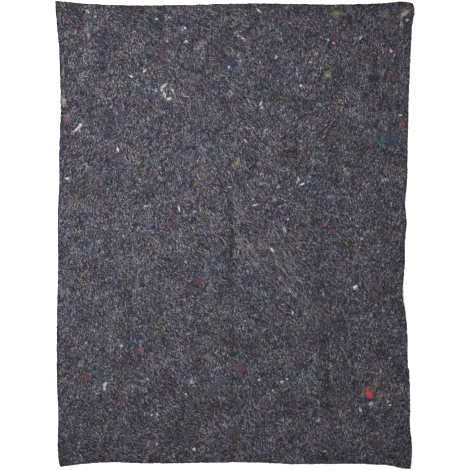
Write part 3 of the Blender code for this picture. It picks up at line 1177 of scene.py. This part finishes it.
def scrap_sheet():
    """A leaf on a grid: half its width is sin(pi v)^0.8 of the most, and never under a tenth.

    Its rim is ragged by about 6 %, and its tone runs from the painted highlight of one side to the
    painted shadow of the other.
    """
    u, v = np.meshgrid(np.linspace(0, 1, 25), np.linspace(0, 1, 41))
    flat = np.dstack([u * SCRAP_WIDTH, v * SCRAP_LENGTH])
    ragged = lumps(flat, 0.006, 0.020, count=16, seed=131)
    half = SCRAP_WIDTH / 2 * np.maximum(np.sin(np.pi * v) ** 0.8, 0.10) * (1 + 0.06 * ragged)
    along = (v - 0.5) * SCRAP_LENGTH
    across = (2 * u - 1) * half
    lean = np.array([np.cos(SCRAP_LEAN), np.sin(SCRAP_LEAN)])
    plan = SCRAP_PLACE + along[..., None] * lean + across[..., None] * [-lean[1], lean[0]]
    crumple = lumps(plan, 0.008, 0.022, count=14, seed=132)
    fullness = rim_fullness(u, SCRAP_WIDTH) * rim_fullness(v, SCRAP_LENGTH)
    tone = np.clip(0.80 * u + 0.16 * (1 - v) + 0.12 * crumple, 0, 1)
    ground = face_height(plan)
    upper = ground + SCRAP_RISE + SCRAP_CRUMPLE * crumple
    lower = ground - SCRAP_DEPTH
    return closed_sheet("red_scrap", u, v, plan, upper, lower, fullness, {"tone": tone})


def scrap_material():
    """Red jersey in fine ribs of stitches: a pinkish painted highlight, and a dark painted shadow.
    """
    material, tree, shader = new_material("red_jersey")
    place = add_node(tree, "TexCoord").outputs["Object"]
    red = add_ramp(tree, add_number(tree, "tone"), SCRAP_LIT_TO_SHADED_REDS)
    turned = add_node(tree, "Mapping", {"Vector": place, "Rotation": SCRAP_RIBS})
    sockets = {"Vector": turned, "Scale": 95.0, "Distortion": 1.6, "Detail": 2.0}
    ribs = add_node(tree, "TexWave", sockets, bands_direction="X")
    colour = multiply(tree, red, add_range(tree, ribs, 0.0, 1.0, 0.72, 1.15))
    bump = add_node(tree, "Bump", {"Height": ribs, "Strength": 0.6, "Distance": 0.0006})
    sockets = {"Base Color": colour, "Normal": bump, "Roughness": 0.85}
    set_sockets(tree, shader, {**sockets, "Specular IOR Level": 0.2})
    return material


red_scrap = scrap_sheet()
red_scrap.data.materials.append(scrap_material())
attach(red_scrap, "root")

SCRAP_FLECKS = [
    Fleck(576, -664, 14, 9, 30, "tip", 1.0),
    Fleck(585, -689, 56, 28, -65, "red", 0.5),
    Fleck(570, -672, 26, 10, -60, "red", 0.7),
    # painted shadow: dark threads where the scrap's right side lies in shade
    Fleck(602, -700, 38, 16, 80, "dark", 1.0),
]
SCRAP_COLOURS = {
    "red": (0.390, 0.036, 0.070),
    # the dark red is painted shadow
    "dark": (0.080, 0.018, 0.024),
    "tip": (0.620, 0.300, 0.200),
}
SCRAP_TONES, SCRAP_STOPS = tones_and_stops(SCRAP_COLOURS)
scrap_threads = fleck_piece(
    "scrap_threads", SCRAP_FLECKS, SCRAP_TONES, seed=135, fill=0.6, widest=0.0014
)
dye_threads(scrap_threads, "red_thread", SCRAP_STOPS)

# ---------------------------------------------------------------------------------------------
# White lint. Cotton and filling fibre stay white: curls and knots of it, many small specks, and
# a few long pale threads, which lie in bunches about the middle.

WHITE_FLECKS = [
    Fleck(720, 519, 13, 9, 20, "white", 0.8),
    Fleck(15, 780, 15, 8, 60, "cream", 0.6),
    Fleck(-13, 615, 28, 7, -60, "white", 0.35),
    Fleck(-491, -481, 12, 10, 0, "white", 0.8),
    Fleck(194, 122, 9, 7, 0, "white", 0.5),
    Fleck(231, 266, 22, 7, 80, "cream", 0.4),
    Fleck(216, 23, 32, 8, -65, "cream", 0.9),
    Fleck(601, 14, 24, 8, -10, "cream", 0.35),
    Fleck(551, -18, 13, 11, 0, "white", 0.7),
    Fleck(478, 285, 14, 10, 60, "white", 0.5),
    Fleck(-194, -361, 30, 20, 0, "lilac", 0.35),
    Fleck(-305, 648, 36, 11, 32, "white", 0.75),
    Fleck(-316, 633, 20, 9, 70, "white", 0.6),
    Fleck(-305, 607, 34, 10, -75, "white", 0.7),
    Fleck(-286, 590, 26, 11, 15, "white", 0.8),
    Fleck(-268, 622, 30, 8, -60, "white", 0.7),
    Fleck(-392, 711, 20, 13, 20, "white", 0.6),
    Fleck(-448, 687, 14, 10, -20, "white", 0.9),
    Fleck(-433, 656, 34, 5, -35, "white", 0.3),
    Fleck(-689, 455, 64, 8, 42, "white", 0.6),
    Fleck(-672, 474, 20, 12, 40, "white", 0.8),
    Fleck(-676, 455, 26, 8, -70, "white", 0.5),
    Fleck(-508, 371, 24, 9, -75, "white", 0.9),
    Fleck(-645, 302, 28, 16, -60, "lilac", 0.4),
    Fleck(-598, -274, 24, 18, 20, "lilac", 0.35),
    Fleck(-385, -104, 28, 24, 60, "lilac", 0.15),
    Fleck(384, -259, 22, 8, 85, "cream", 0.7),
    Fleck(253, -340, 16, 9, 85, "white", 0.6),
    Fleck(305, -344, 12, 9, 0, "white", 0.5),
    Fleck(644, -331, 16, 8, 0, "cream", 0.5),
    Fleck(-724, 245, 20, 9, 25, "white", 0.9),
    Fleck(-385, 125, 18, 9, -20, "cream", 0.8),
    Fleck(-411, 238, 12, 9, 0, "lilac", 0.5),
    Fleck(-325, 292, 14, 7, 0, "white", 0.5),
    Fleck(-294, 841, 12, 9, 0, "white", 0.6),
    Fleck(15, 863, 12, 8, 0, "white", 0.6),
    Fleck(180, 771, 20, 11, 60, "cream", 0.9),
    Fleck(114, 571, 20, 8, 70, "white", 0.8),
    Fleck(118, 552, 14, 8, 40, "white", 0.8),
    Fleck(357, 784, 10, 8, 0, "white", 0.7),
    Fleck(353, 693, 16, 8, -40, "cream", 0.6),
    Fleck(-21, 207, 18, 7, 0, "white", 0.6),
    Fleck(-177, 99, 10, 8, 0, "white", 0.6),
    Fleck(-563, -648, 20, 15, 40, "white", 0.8),
    Fleck(-565, -669, 18, 12, -75, "white", 0.8),
    Fleck(-433, -368, 26, 18, 60, "lilac", 0.25),
    Fleck(-416, 29, 12, 8, 40, "white", 0.5),
    Fleck(-242, 113, 24, 8, -75, "white", 0.9),
    Fleck(-182, -637, 34, 26, 60, "lilac", 0.35),
    Fleck(-184, -640, 16, 12, -30, "white", 0.7),
    Fleck(277, 240, 26, 7, -72, "white", 0.6),
    Fleck(292, 220, 24, 9, 20, "white", 0.9),
    Fleck(322, 251, 22, 5, 30, "white", 0.3),
    Fleck(188, 207, 14, 10, 0, "white", 0.5),
    Fleck(88, 129, 26, 7, 14, "white", 0.8),
    Fleck(79, 155, 12, 9, 60, "white", 0.4),
    Fleck(231, 68, 10, 8, 60, "white", 0.8),
    Fleck(168, 53, 8, 6, 0, "white", 0.3),
    Fleck(162, -66, 22, 11, -50, "white", 0.8),
    Fleck(643, 238, 22, 6, 65, "white", 0.6),
    Fleck(655, 238, 22, 6, -65, "white", 0.6),
    Fleck(130, 450, 50, 7, 88, "lilac", 0.3),
    Fleck(55, 462, 34, 7, -20, "white", 0.4),
    Fleck(666, -700, 30, 6, 85, "lilac", 0.4),
    Fleck(272, 228, 20, 6, 85, "white", 0.5),
    Fleck(549, 856, 30, 6, 50, "white", 0.7),
    Fleck(330, 750, 14, 9, 40, "cream", 0.9),
    Fleck(286, 648, 15, 10, -30, "white", 1.0),
    Fleck(680, 797, 20, 13, -40, "white", 0.6),
    Fleck(691, 780, 14, 6, 60, "white", 0.5),
    Fleck(439, 991, 12, 8, 0, "white", 0.7),
    Fleck(413, 928, 9, 7, 0, "cream", 0.7),
    Fleck(406, 845, 13, 9, 0, "white", 0.9),
    Fleck(428, 832, 10, 8, 0, "white", 0.8),
    Fleck(522, -228, 20, 17, 40, "white", 1.0),
    Fleck(79, 463, 12, 8, 0, "white", 0.6),
    Fleck(136, 455, 14, 8, 40, "white", 0.5),
    Fleck(45, 410, 16, 9, -30, "cream", 0.9),
    Fleck(-25, 727, 11, 8, 60, "white", 1.0),
    Fleck(104, 973, 26, 8, -40, "white", 0.9),
    Fleck(36, 852, 22, 8, -50, "white", 0.8),
    Fleck(-175, -931, 16, 11, -40, "white", 1.0),
    Fleck(364, -804, 20, 14, 60, "cream", 0.7),
    Fleck(205, -638, 14, 10, 0, "white", 0.9),
    Fleck(227, -625, 12, 9, -40, "white", 0.9),
    Fleck(105, -630, 12, 10, 0, "white", 0.7),
    Fleck(165, -676, 10, 9, 0, "white", 0.8),
    Fleck(446, -834, 28, 10, 10, "lilac", 0.4),
    Fleck(392, -938, 14, 7, 0, "cream", 1.0),
    Fleck(-665, -564, 36, 26, 80, "lilac", 0.35),
    Fleck(-644, -469, 10, 9, 0, "white", 0.7),
    Fleck(-360, -782, 12, 9, 0, "white", 0.7),
    Fleck(-536, -760, 14, 8, 0, "lilac", 0.6),
    Fleck(-212, -693, 12, 9, 0, "white", 0.6),
    Fleck(-376, -908, 42, 12, 70, "lilac", 0.35),
    Fleck(-337, -907, 9, 7, 0, "white", 0.7),
    Fleck(-339, 936, 14, 10, 0, "white", 0.9),
    Fleck(-285, 942, 12, 8, 0, "white", 0.7),
    Fleck(-216, 897, 12, 9, 0, "white", 0.8),
    Fleck(-211, 838, 18, 12, 30, "white", 0.8),
    Fleck(-639, 971, 20, 11, -55, "white", 0.8),
    Fleck(-604, 947, 10, 8, 0, "white", 0.7),
    Fleck(-693, 878, 26, 18, 80, "lilac", 0.35),
    Fleck(-637, 864, 34, 22, -75, "lilac", 0.35),
    Fleck(591, -733, 24, 20, 80, "white", 0.5),
    Fleck(674, -739, 12, 9, 0, "white", 0.9),
    Fleck(665, -724, 14, 7, 60, "white", 0.8),
    Fleck(545, -760, 19, 9, -60, "white", 0.9),
    Fleck(674, -535, 10, 8, 0, "white", 0.7),
    Fleck(739, 962, 42, 20, 45, "white", 0.55),
    Fleck(722, 915, 26, 12, 80, "cream", 0.6),
    Fleck(748, 932, 16, 12, 30, "white", 0.7),
    Fleck(496, -761, 12, 8, 0, "cream", 0.7),
    Fleck(-744, 576, 46, 26, 88, "cream", 0.55),
    Fleck(-743, 706, 50, 7, 88, "mauve", 0.7),
]
LINT_COLOURS = {
    "cream": (0.440, 0.430, 0.380),
    "mauve": (0.300, 0.240, 0.270),
    "lilac": (0.450, 0.390, 0.480),
    "white": (0.620, 0.620, 0.640),
}
LINT_TONES, LINT_STOPS = tones_and_stops(LINT_COLOURS)
lint_flecks = fleck_piece(
    "lint_flecks", WHITE_FLECKS, LINT_TONES, seed=91, fill=2.0, widest=0.0015, lift=0.0006
)
dye_threads(lint_flecks, "white_lint", LINT_STOPS, painted_line_and_cut_shade)
lint_specks = strewn_tufts(
    "lint_specks",
    tufts=1100,
    threads=2,
    seed=101,
    spread=0.0010,
    longest=0.008,
    widest=0.0020,
    wear=(0.1, 0.8),
)
dye_threads(lint_specks, "speck_lint", LINT_STOPS, painted_line_and_cut_shade)

# A bunch of combed threads lies about a place in millimetres from the outline's middle. It is so
# long and so wide, and leans by so many degrees from the X axis.
Bunch = namedtuple("Bunch", "x y long wide lean threads")
THREAD_BUNCHES = [
    Bunch(75, -84, 190, 46, -57, 34),
    Bunch(208, -120, 140, 50, -50, 30),
    Bunch(240, -240, 120, 26, -52, 12),
    Bunch(8, 115, 70, 24, -45, 8),
    Bunch(200, -392, 150, 34, -42, 8),
    Bunch(15, -285, 80, 34, -50, 7),
    Bunch(60, 20, 420, 260, -55, 40),  # and more of them strewn about the same place
]
LOOSE_THREADS = 120
BUNCH_SPREAD = 0.09  # the threads of a bunch stray from its lean by so much, in radians
BUNCH_CURL = 0.1  # and curl so many times as much as the loose ones
LONG_STOPS = [
    (0.0, (0.110, 0.112, 0.128)),
    (0.7, (0.185, 0.188, 0.208)),
    (1.0, (0.380, 0.385, 0.410)),
]


def long_threads():
    """Pale threads 30 to 70 mm long: bunches that lie nearly parallel, and loose ones that curl.

    The bunched ones are even over their bunch's box, and the loose ones over the whole panel.
    """
    chance = np.random.default_rng(111)
    owner = np.repeat(np.arange(len(THREAD_BUNCHES)), [row.threads for row in THREAD_BUNCHES])
    size = np.array([[row.long, row.wide] for row in THREAD_BUNCHES])[owner] * MM
    lean = np.radians([row.lean for row in THREAD_BUNCHES])[owner]
    offset = size * (chance.random((len(owner), 2)) - 0.5)
    bunched = about_rows(THREAD_BUNCHES, owner, offset)
    strewn = chance.random((LOOSE_THREADS, 2)) * [CUT_WIDTH, CUT_LENGTH]

    count = len(owner) + LOOSE_THREADS
    in_bunch = np.arange(count) < len(owner)
    heading = np.concatenate([lean, felt_headings(chance, strewn)])
    heading = heading + np.where(in_bunch, BUNCH_SPREAD, 0.0) * chance.standard_normal(count)
    length = 0.030 + 0.040 * chance.random(count)
    turn = 1.3 * np.where(in_bunch, BUNCH_CURL, 1.0) * chance.standard_normal(count)
    waver = 0.15 * chance.standard_normal(count)
    whole = thread_paths(np.zeros((count, 2)), heading, length, turn, waver, rings=10)
    bunched = bunched[:, None] + whole[in_bunch]
    loose = onto_panel(strewn[:, None] + whole[~in_bunch])
    path = np.concatenate([bunched, loose])
    width = 0.0007 + 0.0006 * chance.random(count)
    ground = face_height(path) + 0.0003
    return thread_piece("long_threads", path, ground, width, chance.random(count), rise=0.6)


pale_threads = long_threads()
dye_threads(pale_threads, "pale_thread", LONG_STOPS, painted_line_and_cut_shade)

# ---------------------------------------------------------------------------------------------
# The fuzz of the cut. The blade leaves fibre ends that stick out of the edge all round, most of
# them a millimetre or two, and a few that have pulled out further.

FUZZ_ON_SIDES = [560, 560, 740, 740]  # bottom, top, left and right
FUZZ_SPREAD = np.radians(40)


def cut_fuzz():
    """Fibres that start inside the cut and point outward, give or take FUZZ_SPREAD.

    They are 3.5 to 7 mm long, and one in fourteen is 9 mm longer. A tenth to nearly half of a
    fibre shows outside.
    """
    chance = np.random.default_rng(121)
    side = np.repeat(np.arange(4), FUZZ_ON_SIDES)
    count = len(side)
    share = chance.random(count)
    across = np.choose(side, [share, share, np.zeros(count), np.ones(count)])
    up = np.choose(side, [np.zeros(count), np.ones(count), share, share])
    outward = np.radians([-90, 90, 180, 0])[side]
    heading = outward + FUZZ_SPREAD * chance.standard_normal(count)
    length = 0.0035 + 0.0035 * chance.random(count) + 0.009 * (chance.random(count) < 0.07)
    shown = length * (0.10 + 0.35 * chance.random(count))
    way = np.stack([np.cos(heading), np.sin(heading)], axis=-1)
    root = panel_plan(across, up)
    middle = root + way * (shown - length / 2)[:, None]
    turn = 0.8 * chance.standard_normal(count)
    waver = 0.3 * chance.standard_normal(count)
    path = thread_paths(middle, heading, length, turn, waver, rings=3)
    level = crease_height(root) + FELT_THICKNESS * (0.3 + 0.5 * chance.random(count))
    ground = np.broadcast_to(level[:, None], path.shape[:2])
    width = 0.0007 + 0.0007 * chance.random(count)
    return thread_piece("cut_fuzz", path, ground, width, 0.8 * chance.random(count))


edge_fuzz = cut_fuzz()
dye_threads(edge_fuzz, "fuzz_yarn", MIXED_YARN)

# ---------------------------------------------------------------------------------------------
# The floor, the light and the camera. The blanket was shot face on, on white, under a soft
# light from the upper left.

WHITE =(1.0, 1.0, 1.0, 1.0)
FLOOR_REACH = 14.0
FLOOR_DROP = 0.0012  # it lies so far below the felt, clear of the fibres on its underside


def floor():
    """A wide plain square just under the felt, which glows a little, so that it stays white."""
    corners = FLOOR_REACH * np.array([[-1, -1], [1, -1], [1, 1], [-1, 1]])
    points = np.column_stack([corners, np.full(4, -FLOOR_DROP)])
    piece = new_piece("floor", points, [np.array([[0, 1, 2, 3]])])
    material, tree, shader = new_material("pale_floor")
    sockets = {"Base Color": (0.86, 0.86, 0.86, 1.0), "Roughness": 0.9}
    set_sockets(tree, shader, {**sockets, "Emission Color": WHITE, "Emission Strength": 0.50})
    piece.data.materials.append(material)
    return piece


floor()


def soft_light(name, place, aim, size, power):
    """A square area light at a place, turned to face its aim."""
    light = bpy.data.lights.new(name, "AREA")
    light.size = size
    light.energy = power
    lamp = bpy.data.objects.new(name, light)
    bpy.context.collection.objects.link(lamp)
    lamp.location = place
    way = Vector(aim) - Vector(place)
    lamp.rotation_mode = "QUATERNION"
    lamp.rotation_quaternion = way.to_track_quat("-Z", "Y")
    lamp.visible_camera = False
    return lamp


soft_light("key", (-1.05, 0.38, 2.0), (1.4, 0.1, 0.0), size=0.9, power=94.0)

world = bpy.data.worlds.new("studio")
world.use_nodes = True
set_sockets(
    world.node_tree, world.node_tree.nodes["Background"], {"Color": WHITE, "Strength": 0.40}
)
bpy.context.scene.world = world

PHOTO_PIXEL = 0.00434  # one pixel of the photograph, on the blanket
PHOTO_SIDE = 470 * PHOTO_PIXEL
OFF_MIDDLE = 0.25 * PHOTO_PIXEL  # the photo's middle lies so far right of and below the outline's
CAMERA_HEIGHT = 9.0
camera_data = bpy.data.cameras.new("camera")
camera = bpy.data.objects.new("camera", camera_data)
bpy.context.collection.objects.link(camera)
camera.location = (OFF_MIDDLE, -OFF_MIDDLE, CAMERA_HEIGHT)
camera_data.lens = camera_data.sensor_width * CAMERA_HEIGHT / PHOTO_SIDE
camera_data.clip_end = 60.0
bpy.context.scene.camera = camera
bpy.context.scene.view_settings.view_transform = "Standard"
